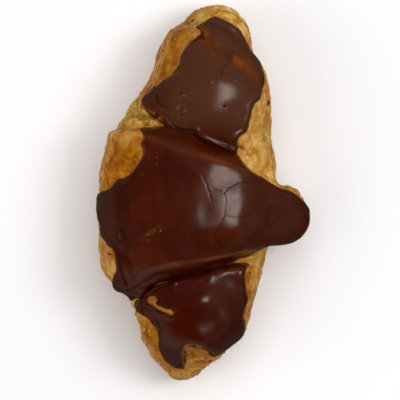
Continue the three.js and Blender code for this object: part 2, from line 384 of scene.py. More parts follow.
# %% Seams, ridges and torn places
UPPER_SEAM = flowing([(-30, 28.3), (-24, 27.8), (-18, 27.8), (-12.5, 26), (-8, 24.7), (-4, 24.2), (-2.4, 22),
                      (2.8, 19.4), (10, 16.5), (15, 15), (22, 9.8), (30, 5.2), (38, 2.6)])
LOWER_SEAM = flowing([(-33, -44.5), (-28, -41.5), (-24, -38.6), (-20.6, -36.4), (-16.4, -35.2), (-10, -34.4),
                      (-5.7, -33.7), (0.6, -32.3), (4.9, -30.9), (9.1, -29.5), (17.7, -26.5), (26, -24),
                      (34, -21.5)])
END_STEP = flowing([(-7, 75), (-1, 73.5), (6, 70.5), (13, 67), (18.5, 62.5), (22, 57)])
FLAP_UPPER_RIDGE = flowing([(-34, 25), (-22.8, 22.4), (-10, 17.6), (4.9, 12.9), (19.8, 8.4), (31.3, 4.6)])
FLAP_LOWER_RIDGE = flowing([(-40, -33), (-36.8, -31), (-18.5, -29.5), (-1.5, -27.8), (17.7, -24.4),
                            (30, -22)])
END_RIDGE = flowing([(-5, 72.3), (1, 70.8), (7, 67.8), (12.6, 64), (16.6, 60.3), (19.6, 55.6)])
# where the last turn tore open, and the sliver and the crumbs of dough that poke through chocolate
TEAR = flowing([(-39, 29), (-36.5, 34.5), (-31, 39.5), (-27, 42), (-26, 37), (-24.8, 34), (-21, 31),
                (-17.5, 28.6), (-22, 27), (-28, 28), (-33, 29.2)], closed=True)
SLIVER = flowing([(-21.6, -45), (-20.6, -46.4), (-19.2, -47.5), (-16.4, -48.8), (-13.4, -50)])
SLIVER_HEAD, SLIVER_END = (-21.3, -45.0), (-14.2, -49.6)
CRUMB = flowing([(-24, -17.9), (-22, -16.9), (-19.9, -15.5)])
SMALL_CRUMB = flowing([(-35.4, -17.6), (-35, -20)])

# %% Swellings and dents
# each row is a place seen from above, its radius, and the rise of a swelling or the depth of a dent
OUTLINE_SWELLINGS = [(-40, 26, 5, 2.4), (26, 54, 9, 1.6), (-26, 46, 9, -1.2), (37, -21, 7, 1.6),
                     (45, -12, 7, 0.8), (39, 1, 6, 1.3), (5, -71, 7, 1.3), (-34.5, -42, 4, 1.5),
                     (-12, -77.5, 4, 1.0), (-2.5, -78.5, 3, 0.6)]
UPPER_SWELLINGS = [(3.5, 32, 8, 1.3), (4.5, 44, 7, 0.6), (-9, 36, 6, 0.6)]
LOWER_SWELLINGS = [(0.3, -45, 6, 1.6), (-2, -62.5, 6, 2.2)]
LOWER_DENTS = [(14, -39, 8, 1.4), (15, -50, 8, 1.3), (3, -52.5, 4, 0.7)]
SEAM_DENT = [(9.5, -38, 4.5, 0.9)]
FLAP_DENTS = [(4, 3, 8, 0.5), (16, 1, 10, -1.1), (-27, 4, 10, 0.5)]
TONGUE_DENTS = [(12, 4, 6, 0.7), (11.5, -5.5, 4, 0.5), (15, -14, 7, -1.1)]


def bell(away, width):
    """1 where away is zero, falling off softly within about a width."""
    return np.exp(-((away / width) ** 2))


def fold(x, y, z, line, top, lean, depth, width):
    """How far a seam's fold pushes the surface in. Below its top it leans under the next turn."""
    return depth * bell(distance_to_line(x, y - lean * (z - top), line), width)


def between(x, y, ridge, foot):
    """0 on a ridge, 1 at the foot of the slope beside it, and more beyond it."""
    ridge_y = np.interp(x, *ridge[np.argsort(ridge[:, 0])].T)
    foot_y = np.interp(x, *foot[np.argsort(foot[:, 0])].T)
    return (y - ridge_y) / (foot_y - ridge_y)


def mound(x, y, place, radius):
    """1 at a place seen from above, falling off softly within about its radius."""
    return np.exp(-(((x - place[0]) ** 2 + (y - place[1]) ** 2) / radius**2))


def mounds(x, y, rows):
    """The sum of mounds given as rows of a place, a radius and a rise."""
    return sum(rise * mound(x, y, (px, py), radius) for px, py, radius, rise in rows)


def near_surface(block, reach):
    """The block's points within a reach of its surface: their numbers, and their x, y and z."""
    near = np.flatnonzero(np.abs(block.values) < reach)
    places = np.unravel_index(near, block.shape)
    return near, *(block.axis(k)[place].astype(np.float32) for k, place in enumerate(places))


# %% Pushing the form
# push is how far the surface goes in at each point, and below zero it comes out
near, x, y, z = near_surface(form, 6)

# the folds, and the slopes that lead down to them from the flap's ridges
push = fold(x, y, z, UPPER_SEAM, top=45, lean=-0.45, depth=2.6, width=1.4) * ease(x, 21, 14)
push += fold(x, y, z, LOWER_SEAM, top=42, lean=0.3, depth=2.6, width=1.3)
push += fold(x, y, z, END_STEP, top=36, lean=0.1, depth=0.9, width=1.3)
slope = between(x, y, FLAP_LOWER_RIDGE, LOWER_SEAM)
push += 2.4 * ease(slope, 0, 1) * (1 - ease(slope, 1.0, 1.9)) * ease(x, 30, 16)
slope = between(x, y, FLAP_UPPER_RIDGE, UPPER_SEAM)
push += 1.3 * ease(slope, 0.1, 1) * (1 - ease(slope, 1.0, 1.25)) * ease(x, 32, 22)
deepest_fold = float(push.max())

# the ridges themselves, the swellings and dents, and the hollow along the flap's lower right
for ridge, rise, width in ((FLAP_UPPER_RIDGE, 0.7, 1.6), (FLAP_LOWER_RIDGE, 0.25, 1.0),
                           (END_RIDGE, 0.6, 1.3)):
    push -= rise * bell(distance_to_line(x, y, ridge), width)
for swellings in (UPPER_SWELLINGS, LOWER_SWELLINGS):
    push -= mounds(x, y, swellings)
for dents in (LOWER_DENTS, SEAM_DENT, FLAP_DENTS, TONGUE_DENTS):
    push += mounds(x, y, dents)
push += 1.8 * ease(y, -14, -27) * ease(y, -32, -29) * ease(x, -12, 2)

# the torn place, which is sunk, and the sliver and crumbs, which stick up through the chocolate
push += 2.2 * ease(depth_inside(x, y, TEAR), -0.6, 3.0)
push -= 2.0 * bell(distance_to_line(x, y, SLIVER), 1.1) + 1.3 * mound(x, y, SLIVER_HEAD, 2.4)
push -= 1.5 * bell(distance_to_line(x, y, CRUMB), 1.0)
push -= 1.2 * bell(distance_to_line(x, y, SMALL_CRUMB), 0.8)
push *= ease(z, 14, 26)  # all of these are only on the top

# the outline, and lumps everywhere except on the table
push -= mounds(x, y, OUTLINE_SWELLINGS)
push += 0.30 * cloud(form, 11, seed=11).ravel()[near]
push += 0.13 * cloud(form, 5, seed=12).ravel()[near]
push *= ease(z, 0.5, 3.5)
form.values.ravel()[near] += push
print(f"form: {len(near)} of {form.values.size} points near the surface, folds {deepest_fold:.1f} mm deep")


# %% [markdown]
# ## From distances to a mesh
# The surface is where the distance is zero. OpenVDB finds it and gives quads of about one step.
# Where a coat thins out to nothing it can leave specks that hang in the air, so these are left out.
# A mesh made this way spends as many faces on hidden places as on those that show, so afterwards a
# Decimate modifier thins out only what lies under the chocolate or on the table.


# %% Meshing
def without_specks(points, quads):
    """Leaves out the specks: closed parts with less than a tenth of the largest part's points."""
    part = np.arange(len(points))
    before = None
    while before is None or (part != before).any():
        before = part.copy()
        lowest = part[quads].min(axis=1)
        np.minimum.at(part, quads.ravel(), np.repeat(lowest, 4))
        part = part[part]
    sizes = np.bincount(part)
    quads = quads[sizes[part[quads[:, 0]]] > sizes.max() / 10]
    used, place = np.unique(quads, return_inverse=True)
    return points[used], place.reshape(quads.shape)


def mesh_of(block, name):
    """A closed mesh where the block is zero, as an object, with its faces outward."""
    limit = float(3 * block.step[0])
    grid = openvdb.FloatGrid(limit)
    grid.copyFromArray(np.clip(block.values, -limit, limit))
    points, quads = grid.convertToQuads(0.0)
    points, quads = without_specks(points * block.step + block.low, quads)
    a, b, c, d = (points[quads[:, n]] for n in range(4))
    if np.einsum("ij,ij->i", a, np.cross(b - a, c - a) + np.cross(c - a, d - a)).sum() < 0:
        quads = quads[:, ::-1]
    mesh = bpy.data.meshes.new(name)
    mesh.from_pydata((points * MM).tolist(), [], quads.tolist())
    mesh.shade_smooth()
    piece = bpy.data.objects.new(name, mesh)
    bpy.context.scene.collection.objects.link(piece)
    return piece


def points_of(piece):
    """The places of a mesh's points, in millimetres."""
    places = np.empty(len(piece.data.vertices) * 3, np.float32)
    piece.data.vertices.foreach_get("co", places)
    return places.reshape(-1, 3) / MM


def note(piece, name, values):
    """Writes one number for each point of a mesh, for its material to read."""
    layer = piece.data.attributes.new(name, "FLOAT", "POINT")
    layer.data.foreach_set("value", np.asarray(values, np.float32))


def finish_modifiers(piece):
    """Turns a piece with live modifiers into a plain mesh."""
    graph = bpy.context.evaluated_depsgraph_get()
    plain = bpy.data.meshes.new_from_object(piece.evaluated_get(graph), preserve_all_data_layers=True,
                                            depsgraph=graph)
    piece.modifiers.clear()
    piece.data = plain


def thin_out(piece, hidden, share):
    """Thins the hidden points of a piece until this share of their faces is left."""
    group = piece.vertex_groups.new(name="hidden")
    group.add(np.flatnonzero(hidden).tolist(), 1.0, "REPLACE")
    thinner = piece.modifiers.new("thin out", "DECIMATE")
    thinner.vertex_group = "hidden"
    thinner.ratio = 1 - (1 - share) * float(np.mean(hidden))
    finish_modifiers(piece)
    piece.vertex_groups.clear()


def triangle_count(piece):
    piece.data.calc_loop_triangles()
    return len(piece.data.loop_triangles)


# %% [markdown]
# ## Three coats of chocolate
# Melted chocolate levels itself: it lies thin on the ridges, where the dough's orange shines
# through, and thick in the folds. So a coat's outer face is the form blurred and pushed out by the
# coat's thickness, and its inner face is the form itself, pushed in a little so that it grips. The
# thickness falls to nothing at an outline drawn from above, in a round bead. A second limit, the
# drip line, stops the coat on its way down the sides.
#
# What the pouring left is added to this: smears, where an edge was wiped thin, pools, where a hollow
# filled up level, bubbles, and creases where two runs met. When it set, the chocolate cracked in
# hairlines. A hairline is narrower than the grid's step, so its groove is shallow, and a number on
# the mesh's points paints a line of shade along it as well.

# %% Outlines of the coats
UPPER_COAT = flowing([
    (6.5, 74), (12.9, 70.8), (16.1, 67.7), (19.8, 61.8), (23.5, 57), (25.6, 51.2), (26, 46.9), (25.1, 43.5),
    (24, 39.5), (21.4, 36.8), (19.8, 32), (18.2, 25.6), (15, 22.4), (14.5, 18.2), (13.8, 16), (8.1, 17.2),
    (0.8, 20), (-3, 22.6), (-7, 24.4), (-12.1, 25.8), (-17.4, 28.4), (-23.3, 32.6), (-26.3, 38.4),
    (-22.8, 42.1), (-18.5, 45.8), (-13.2, 49.6), (-10.5, 53.3), (-9.8, 57), (-6.8, 61.8), (-3.1, 65),
    (-1.5, 67.1), (-3.6, 69.3), (-0.4, 71.9), (3.8, 74.4)], closed=True)
MIDDLE_COAT = flowing([
    (-27, 26.8), (-22.8, 27.4), (-16.9, 28), (-12.1, 26.6), (-7, 25.2), (-3.2, 23.6), (3.8, 19.8),
    (9.1, 17.8), (13.9, 16.4), (16.6, 13.2), (19.8, 9.4), (25.1, 6.5), (31, 2.8), (36.8, 0.9), (40.6, -1.6),
    (44.5, -5), (51, -10), (51, -19), (40, -23), (35.7, -23.5), (27.8, -24.6), (20.9, -25.8), (15.5, -28),
    (10.7, -30), (6, -31.7), (-1.5, -33.6), (-9, -35.4), (-16, -36.6), (-20.5, -38.3), (-23.5, -41.2),
    (-26.4, -44.4), (-30.2, -43.4), (-33.4, -43), (-37, -43.6), (-39.4, -40.6), (-38.2, -36.1),
    (-36.6, -32.9), (-37.1, -29.7), (-37.7, -25.4), (-39.8, -22.2), (-43.2, -19), (-44.2, -15.9),
    (-45, -11.6), (-48, -6.3), (-48, -3.1), (-44.6, -0.2), (-39.8, 1.7), (-36.6, 4.9), (-31.3, 7.6),
    (-28.1, 11.3), (-25.4, 16.1), (-26.5, 20.3), (-25.4, 22.4), (-26, 25.1)], closed=True)
LOWER_COAT = flowing([
    (-23.8, -40.5), (-20, -38.8), (-15.5, -36.9), (-9, -35.2), (0.6, -32.6), (5, -31.4), (9, -30.9),
    (12.3, -29.9), (18.6, -29.9), (17.7, -35), (18.7, -44.6), (17.1, -52.5), (18.2, -57.3), (18.4, -61.4),
    (14.5, -65.4), (9.1, -68), (4.9, -69.6), (2.2, -68.2), (1.2, -66.4), (-2.6, -65.3), (-7.3, -64.6),
    (-6.8, -68), (-7.7, -73.7), (-8.4, -74.9), (-12.1, -74.2), (-16.4, -71.2), (-18.5, -66.9),
    (-19, -60.5), (-20.1, -56.8), (-22.8, -53.6), (-26, -51.5), (-29.2, -50), (-31, -47.4), (-27.7, -44.9),
    (-25.6, -42.8)], closed=True)

# %% How the chocolate lies
COAT_STEP = 0.33
COAT_THICKNESS = 1.15
GRIP = 0.45  # how far a coat reaches into the dough's rough skin
BEAD = 1.5  # how wide the round edge of a coat is
# a smear's row is its place, its radius, and how much wider than a bead the edge is there
SMEARS = [(-4, -65.5, 5, 3.0), (-7, -69.5, 4, 3.0), (4, -67.5, 3, 2.0), (26.5, 46, 3, 2.0),
          (-21.5, 31.5, 3.5, 3.0), (-26, 17, 4, 1.5), (-12, 51, 7, 1.4), (-5, 63, 6, 1.6)]
POOLS = [(-33.5, -39, 6, 1.0), (-25, -42, 4, 1.0)]
levelled, pooled = blur(form, 1.2), blur(form, 2.8)
print(f"coats: {COAT_THICKNESS} mm thick, on a grid of {COAT_STEP} mm")


def tongue_edge(x):
    """The height of the tongue's sharp edge, which the chocolate doesn't run under."""
    return np.interp(x, [14, 20, 28, 35, 40, 46, 50], [0, 27, 24, 20, 16.5, 12.5, 11])


def soft_min(a, b, reach):
    """The smaller of two numbers, with the corner between them rounded."""
    return np.minimum(a, b) - np.clip(1 - np.abs(a - b) / reach, 0, 1) ** 2 * reach / 4


# %% Cracks
CRACK_WIDTH, CRACK_DEPTH, CRACK_WANDER = 0.18, 0.13, 0.32
# a crack's dark line is painted shade, standing in for the shadow inside the crack
CRACK_SHADOW = 0.25  # the width of the dark line along a crack


def cracked(points, seed):
    """A crack through points drawn from above: it wanders a little at every millimetre or so."""
    line = flowing(points, per_step=5)
    wander = np.random.default_rng(seed).uniform(-CRACK_WANDER, CRACK_WANDER, line.shape)
    wander[0] = wander[-1] = 0
    return line + wander


def crack_share(x, y, cracks, width):
    """1 in the middle of a crack and 0 beside it."""
    share = 0.0
    for line in cracks:
        share = np.maximum(share, bell(distance_to_line(x, y, line), width))
    return share


# %% Pouring a coat
def pour(name, reach, box, drip_line, seed, shaping, cracks=()):
    """One coat of set chocolate.

    reach(x, y) is how far a place is inside the coat's edge, seen from above. box is the coat's
    lowest and highest corner. shaping(x, y) is what the coat is thicker or thinner by.
    """
    coat = Block(*box, COAT_STEP)
    x, y, z = coat.grid()

    # how far inside the coat a place is: from its outline, its drip line and the tongue's edge
    run = 1.5 * cloud(coat, 7, seed + 1) * ease(z, drip_line + 9, drip_line + 1)
    edge = reach(x, y) + 0.22 * cloud(coat, 2.2, seed)
    edge = soft_min(edge, (z - drip_line) * 0.8 + run, 5.0)
    edge = np.minimum(edge, (z - tongue_edge(x)) * 0.8 + run)

    # how thick it is there: a round bead with a slight rim, thin where it's smeared, and cracked
    smear = mounds(x, y, SMEARS)
    round_edge = np.sqrt(1 - (1 - np.clip(edge / (BEAD + smear), 0, 1)) ** 2)
    thickness = (COAT_THICKNESS + 1 + shaping(x, y)) * round_edge - 1
    thickness += 0.25 * bell(edge - 1.5, 0.9) * ease(smear, 1, 0)
    tapered = COAT_THICKNESS * np.clip(edge / (BEAD + smear), -1, 1) - 0.1
    thickness += np.clip(smear / 2, 0, 1) * (np.minimum(tapered, thickness) - thickness)
    thickness -= CRACK_DEPTH * crack_share(x, y, cracks, CRACK_WIDTH)
    thickness += 0.08 * cloud(coat, 6, seed + 2)

    # its outer face lies off the levelled dough, and its inner face a little way into the dough
    outside = Block(*box, COAT_STEP).like(levelled).values - thickness
    pool = mounds(x, y, POOLS)
    if pool.max() > 0.05:
        filled = Block(*box, COAT_STEP).like(pooled).values - thickness
        outside += np.clip(pool, 0, 1) * (np.minimum(filled, outside) - outside)
    inside = Block(*box, COAT_STEP).like(form).values + GRIP
    coat.values = np.maximum(outside, -inside)

    # the mesh, with the numbers that its material reads
    piece = mesh_of(coat, name)
    points = points_of(piece)
    cover = form.at(points)
    note(piece, "cover", cover)
    # the painted shade along each crack, for the finish to read
    shadow = crack_share(points[:, 0], points[:, 1], cracks, CRACK_SHADOW)
    note(piece, "crack", shadow * np.ones(len(points)))
    thin_out(piece, cover < -0.15, 0.15)
    print(f"{name}: {triangle_count(piece)} triangles")
    return piece


def box_round(outline, drip_line):
    """The box that a coat with this outline needs."""
    return [*(outline.min(0) - 2), drip_line - 4], [*(outline.max(0) + 2), BOX_HIGH[2] + 2]


# %% The upper coat
BURST_BUBBLE, SWOLLEN_BUBBLE, PINHOLE = (-9.6, 40.4), (-8.8, 33.2), (8.7, 35.6)
PIMPLES = [(2.8, 45.8, 0.6, 0.5), (-3.4, 43.6, 0.6, 0.25), (-2.6, 33.4, 0.6, 0.2), (17, 51.5, 0.6, 0.3),
           (13.5, 47, 0.6, 0.25), (-21, 44, 0.6, 0.3)]
CREASES = [flowing([(-20.5, 33.5), (-18.5, 31.8), (-15.1, 31.4), (-14, 29.7), (-11.9, 27.4), (-7.7, 25.9),
                    (-3.4, 25.6)]),
           flowing([(-19.4, 40.6), (-18.9, 37.6), (-17.2, 36.2), (-15.4, 35.4)])]
WORN_BAND = flowing([(-3, 69), (2, 63), (7.7, 58.6), (17, 53.6), (24, 47)])  # thin, over a ridge
UPPER_CRACKS = [cracked([(12.1, 56.5), (7.9, 51.8), (7.4, 48)], seed=101)]


def upper_shaping(x, y):
    """Bubbles, pimples and creases, a rim along the seam, and the band where a ridge wore it thin."""
    more = 0.9 * bell(distance_to_line(x, y, UPPER_SEAM) - 1.7, 1.2) * ease(y, 30, 26)
    slit = np.hypot((x - BURST_BUBBLE[0]) * 0.45, y - BURST_BUBBLE[1] - 0.6)
    more += 1.6 * mound(x, y, BURST_BUBBLE, 1.3) - 2.0 * bell(slit, 0.45)
    more += 1.5 * mound(x, y, SWOLLEN_BUBBLE, 1.3) - 1.0 * mound(x, y, (-10.4, 34.8), 1.5)
    more += mounds(x, y, PIMPLES)
    more -= 1.5 * mound(x, y, PINHOLE, 0.34)
    for line in CREASES:
        away = distance_to_line(x, y, line)
        more += 0.35 * bell(away - 1.0, 0.6) - 0.8 * bell(away, 0.38)
    thin = 0.85 * bell(distance_to_line(x, y, WORN_BAND), 5.5) + 0.3 * mound(x, y, (-2, 68), 4)
    return more - thin - 0.7 * mound(x, y, (-21.5, 31), 3.2)


UPPER_DRIP, MIDDLE_DRIP, LOWER_DRIP = 20, 15.5, 17  # the heights that the coats ran down to
upper_coat = pour("chocolate_upper", lambda x, y: depth_inside(x, y, UPPER_COAT),
                  box_round(UPPER_COAT, UPPER_DRIP), UPPER_DRIP, 31, upper_shaping, UPPER_CRACKS)

# %% The middle coat
LOBE_RIDGE = flowing([(-35.8, -31.5), (-34.6, -35), (-33.4, -38), (-32, -42)])
LOBES = [(-36.6, -40.6, 3.2, 1.5), (-28, -41.6, 3.4, 0.9)]
CRUMB_RIM = [(-25.2, -16.2, 0.6, 0.5), (-19.2, -14.2, 0.6, 0.4), (-18.6, -16.4, 0.6, 0.5),
             (-22.4, -19.3, 0.6, 0.35)]
MIDDLE_CRACKS = [
    cracked([(-2.3, 10.5), (-0.6, 7.2), (0.6, 4.1), (2, 0.4), (3.2, -3.5)], seed=111),
    cracked([(3.2, 2), (5.8, 0.9), (8.3, -0.5), (9.1, -3.1), (8.7, -8.2), (6.6, -12.4), (4.5, -18)],
            seed=112),
    cracked([(8.3, -0.5), (10.9, 2.4), (16, 4.6), (19.4, 4.2), (23.2, 4.6)], seed=113),
    cracked([(30, 0.7), (30.4, -2.2), (27, -7.3), (27, -11.6), (28.3, -15.9)], seed=114),
    cracked([(9.6, -9.5), (15.5, -9.9), (19.8, -9.5)], seed=115),
    cracked([(36.8, -6.1), (32.4, -10), (28.3, -13.7)], seed=116),
    cracked([(20.2, -18), (22.4, -16.6), (24, -15.4)], seed=117)]


def bare_spots(x, y):
    """How far a place is from the sliver and the crumbs that poke through the chocolate."""
    sliver = distance_to_line(x, y, SLIVER) - 0.5
    for (px, py), radius in ((SLIVER_END, 0.85), (SLIVER_HEAD, 1.8)):
        sliver = np.minimum(sliver, np.hypot(x - px, y - py) - radius)
    rough = 0.45 * np.sin(3.1 * x + 1) * np.sin(3.7 * y)
    return np.minimum(sliver, np.minimum(distance_to_line(x, y, CRUMB) - 0.2,
                                         distance_to_line(x, y, SMALL_CRUMB) - 0.1) + rough)


def middle_reach(x, y):
    """How far a place is inside the middle coat."""
    return np.minimum(depth_inside(x, y, MIDDLE_COAT), bare_spots(x, y))


def middle_shaping(x, y):
    """The lobe that ran into the seam, the rims of the crumbs, and the ridges, where it's thin."""
    away = distance_to_line(x, y, LOBE_RIDGE)
    more = 0.6 * ease(away, 7, 3) + 0.7 * bell(away, 1.3)
    more += mounds(x, y, LOBES)
    more += mounds(x, y, CRUMB_RIM)
    more -= 0.2 * mound(x, y, (-5, 0), 9) + 0.4 * mound(x, y, (20.5, -11), 4)
    more -= 0.35 * bell(distance_to_line(x, y, FLAP_UPPER_RIDGE), 2.2)
    return more - 0.3 * bell(distance_to_line(x, y, FLAP_LOWER_RIDGE), 0.6) * ease(x, -18, -4)


middle_coat = pour("chocolate_middle", middle_reach, box_round(MIDDLE_COAT, MIDDLE_DRIP), MIDDLE_DRIP, 41,
                   middle_shaping, MIDDLE_CRACKS)

# %% The lower coat
LOWER_CREASE = flowing([(-26.2, -43.8), (-22.3, -42.4), (-19.8, -40.3), (-16.4, -38.9), (-13, -37.3)])
LOBE_FOLD = flowing([(-26.6, -46.6), (-26.2, -49), (-25.4, -51.4)])


def lower_reach(x, y):
    """How far a place is inside the lower coat."""
    return np.minimum(depth_inside(x, y, LOWER_COAT), bare_spots(x, y))


def lower_shaping(x, y):
    """The crease and the fold where it ran against the middle coat, and two thin places."""
    away = distance_to_line(x, y, LOWER_CREASE)
    more = 0.4 * bell(away - 1.0, 0.6) - 0.45 * bell(away, 0.4)
    more += 0.8 * bell(distance_to_line(x, y, LOBE_FOLD), 0.8)
    more += 0.6 * mound(x, y, (3.2, -33.6), 1.8)
    return more - 0.25 * mound(x, y, (-1, -38), 6) - 0.25 * mound(x, y, (4, -51), 6)


lower_coat = pour("chocolate_lower", lower_reach, box_round(LOWER_COAT, LOWER_DRIP), LOWER_DRIP, 51,
                  lower_shaping)

# %% [markdown]
# ## The baked skin
# The same form, in a finer block, gets what makes baked dough look baked. Its steep sides show the
# dough's sheets from their edges: rounded ridges with sharp grooves between them, level along the
# sides and winding up at both ends. Sheets also peel, which leaves shallow steps with torn borders.
# The brushed top is smooth, with blisters, thin wrinkles and a few drops of egg wash that dried to
# glossy beads. Where the last turn tore open the crumb shows, full of holes.

# %% Skin block
SKIN_STEP = 0.56
SHEET = 2.0  # how thick a baked sheet of dough is
SHEETS_PER_TURN = 4

skin = Block(ROOM_LOW, ROOM_HIGH, SKIN_STEP).like(form)
steepness = 1 - np.abs(np.gradient(skin.values, SKIN_STEP, axis=2))
near, x, y, z = near_surface(skin, 2.5)


def soft(cell, seed):
    """A random field at the points near the skin."""
    return cloud(skin, cell, seed).ravel()[near]


# %% Sheets
# level grows by one sheet's thickness from a sheet to the next, and leaf is 1 on a sheet's ridge
# and 0 in the groove between two
end = ease(np.abs(y), 60, 72)
from_axis = np.hypot(x - 0.09 * y, z - 17)
turned = np.arctan2(z - 17, x - 0.09 * y) / (2 * math.pi)
level = z * (1 - end) + (from_axis + turned * SHEET * SHEETS_PER_TURN) * end
level += 1.3 * soft(13, seed=71) + 0.45 * soft(4, seed=72)
sheet = level / SHEET
number = np.floor(sheet).astype(int)
width = np.random.default_rng(73).uniform(0.25, 0.85, 256)[number % 256]
leaf = np.sqrt(np.sin(math.pi * (sheet - number)))

side = ease(steepness.ravel()[near] + 0.07 * soft(6, seed=74), 0.35, 0.75) * ease(z, 1, 4)
push = side * (0.2 - width * leaf) * (0.35 + 0.65 * np.clip(soft(7, seed=75) + 0.3, 0, 1.3))
push -= side * 0.15 * np.abs(soft((1.5, 2.6, 1.2), seed=84))
print(f"sheets: {number.max() - number.min() + 1}, each {SHEET} mm thick")

# %% Peeled sheets, blisters and wrinkles
WASH_DROPS = [(24.6, 22.4, 1.0, 0.8), (24.9, 19.6, 0.9, 0.7), (19.1, 16.1, 1.1, 0.5), (-33, 19, 1.0, 0.35),
              (-29.5, 24.5, 0.9, 0.3), (21.5, 66, 1.0, 0.35), (26.2, 26.5, 0.8, 0.4), (22.4, 12.6, 0.8, 0.4)]
peel = 1.6 * soft((4, 8, 3.2), seed=76)
push += (0.12 + 0.2 * side) * (ease(peel - np.floor(peel), 0.0, 0.16) - 0.5)
push -= 0.22 * np.clip(soft(4.5, seed=77) - 0.7, 0, 1.5)
wrinkle = np.clip(1 - np.abs(soft((3, 5.5, 3), seed=78)) / 0.2, 0, 1) * ease(soft(8, seed=79), -0.5, 0.7)
push -= 0.24 * wrinkle * (1 - 0.6 * side)
push += 0.07 * soft(1.5, seed=80)
drops = mounds(x, y, WASH_DROPS) * ease(z, 12, 18)
push -= drops

# %% The torn crumb
torn = ease(depth_inside(x, y, TEAR) + 0.6 * soft(2.2, seed=86), -0.6, 0.8)
torn *= ease(z + 2 * soft(4, seed=87), 14, 18)
lumps = np.clip(0.5 * soft(2.6, seed=81) + 0.8 * soft((1.2, 1.2, 1.2), seed=82), -1.5, 1.5)
push = push * (1 - torn) + torn * (0.5 * lumps + 0.1)

skin.values.ravel()[near] += push * ease(z, 0.4, 3)


def field(values):
    """Values at the points near the skin, as a block that can be read anywhere."""
    block = Block(ROOM_LOW, ROOM_HIGH, SKIN_STEP)
    block.values.ravel()[near] = values
    return block


# %% The baked roll
pastry = mesh_of(skin, "baked_roll")
points = points_of(pastry)

# %% Where chocolate lies on the dough
STAINS = [(27.4, 38.2, 1.0, 1.0), (27.0, 36.9, 0.6, 1.0), (-44.8, -13.7, 0.8, 1.0), (-39.8, -25.6, 0.7, 1.0),
          (19.4, -33.7, 0.9, 1.0), (2.9, -71, 0.9, 1.0), (-4.6, 72.6, 0.8, 1.0), (-6, 71, 0.6, 1.0),
          (-38.8, -25.8, 0.7, 1.0)]  # drips that ran over an edge of a coat
OUTSIDE = -9


def under_chocolate(points):
    """How deep points are under one of the coats, seen from above."""
    x, y, z = points.T
    deep = np.maximum(depth_inside(x, y, UPPER_COAT), np.maximum(middle_reach(x, y), lower_reach(x, y)))
    return np.where(z > np.maximum(24, tongue_edge(x) + 4), deep, OUTSIDE)


def stain_and_seam_shade(points):
    """How brown the chocolate makes the dough: wholly under it and half on the crumbs, with painted shade in
    the seams' folds.
    """
    x, y, z = points.T
    seam = np.minimum(distance_to_line(x, y, LOWER_SEAM) + 9 * (x > 13),
                      distance_to_line(x, y, UPPER_SEAM) + 9 * ((x < -15) | (x > 13)))
    crumb = np.minimum(distance_to_line(x, y, CRUMB), distance_to_line(x, y, SMALL_CRUMB))
    smear = np.clip(sum(mound(x, y, (px, py), radius) for px, py, radius, _ in SMEARS), 0, 1)
    under = under_chocolate(points)
    # in the seams' folds the dark is painted shade
    full = np.maximum(ease(under, -0.1, 0.7), ease(seam, 3.2, 2.0) * ease(z, 9, 15))
    full = np.maximum(full, 0.6 * smear * ease(under, -2.6, 0.5))
    full = np.maximum(full, 0.8 * np.clip(1.6 * mounds(x, y, STAINS) - 0.3, 0, 1) * ease(z, 6, 9))
    part = np.maximum(0.85 * ease(crumb, 2, 1), 0.45 * ease(distance_to_line(x, y, SLIVER), 3, 2))
    return np.maximum(full, part * ease(z, 18, 24))


# %% What the dough's finish reads from its points
# places of pale dough that browned less; the big one on the end cap, at (11, 74), is partly painted light
# that brightens that end
PALE_PLACES = [(20, 12, 9, 0.7), (29, 7, 5, 0.8), (27, 30, 12, 0.5), (26, 48, 8, 0.4), (-34, 27, 5, 0.5),
               (-27, 27, 4, 0.5), (22, -30, 5, 0.6), (21, -44, 5, 0.15), (-8, -77, 7, 0.45), (6, -71, 6, 0.4),
               (-38, -33, 4, 0.6), (11, 74, 13, 1.3), (-30, -47, 4, 0.9), (24, 24, 9, 0.15)]
WASHED_PLACES = [(-23, -57, 5, 0.7), (-3, -68, 5, 0.9), (-31, 40, 6, 0.3)]  # where egg wash ran down
pale = mounds(points[:, 0], points[:, 1], PALE_PLACES)
washed = mounds(points[:, 0], points[:, 1], WASHED_PLACES)
upward = Block(ROOM_LOW, ROOM_HIGH, FORM_STEP)  # 1 where the form faces up, and 0 where it is upright
upward.values = np.gradient(form.values, FORM_STEP, axis=2).astype(np.float32)
brushed = ease(upward.at(points) + 0.4 * washed + 0.12 * field(soft(6, seed=83)).at(points), 0.28, 0.56)
note(pastry, "brushed", brushed * (1 - np.clip(pale, 0, 1)))
note(pastry, "pale", np.clip(pale, 0, 1))
for name, values in (("torn", torn), ("lump", lumps), ("sheet", sheet),
                     ("leaf", 1 - (1 - leaf) * (side > 0.02)), ("wrinkle", wrinkle)):
    note(pastry, name, field(values).at(points))
note(pastry, "wet", np.clip(4 * field(drops).at(points), 0, 1))
note(pastry, "dark", stain_and_seam_shade(points))
patchy = field(side * ease(soft(6, seed=85), 0.2, 1.2)).at(points)
note(pastry, "flaky", patchy * ease(under_chocolate(points), -1.5, -3) * ease(points[:, 2], 3, 8))
thin_out(pastry, (points[:, 2] < 0.3) | (under_chocolate(points) > 2.2), 0.1)
print(f"baked_roll: {triangle_count(pastry)} triangles")

# %% [markdown]
# ## Loose flakes
# The outermost sheet of a baked croissant dries first and lifts in small scales, most of all on the
# sides. There are hundreds of them and they follow the skin, so Geometry Nodes place them: points on
# the skin, thick where a mask written on it is high, and on each point one thin bent scale, turned
# along the sheets. The result is realised and kept as one plain mesh.

# %% One scale
SCALE_ROWS, SCALE_COLUMNS, SCALE_THICKNESS = 5, 3, 0.09


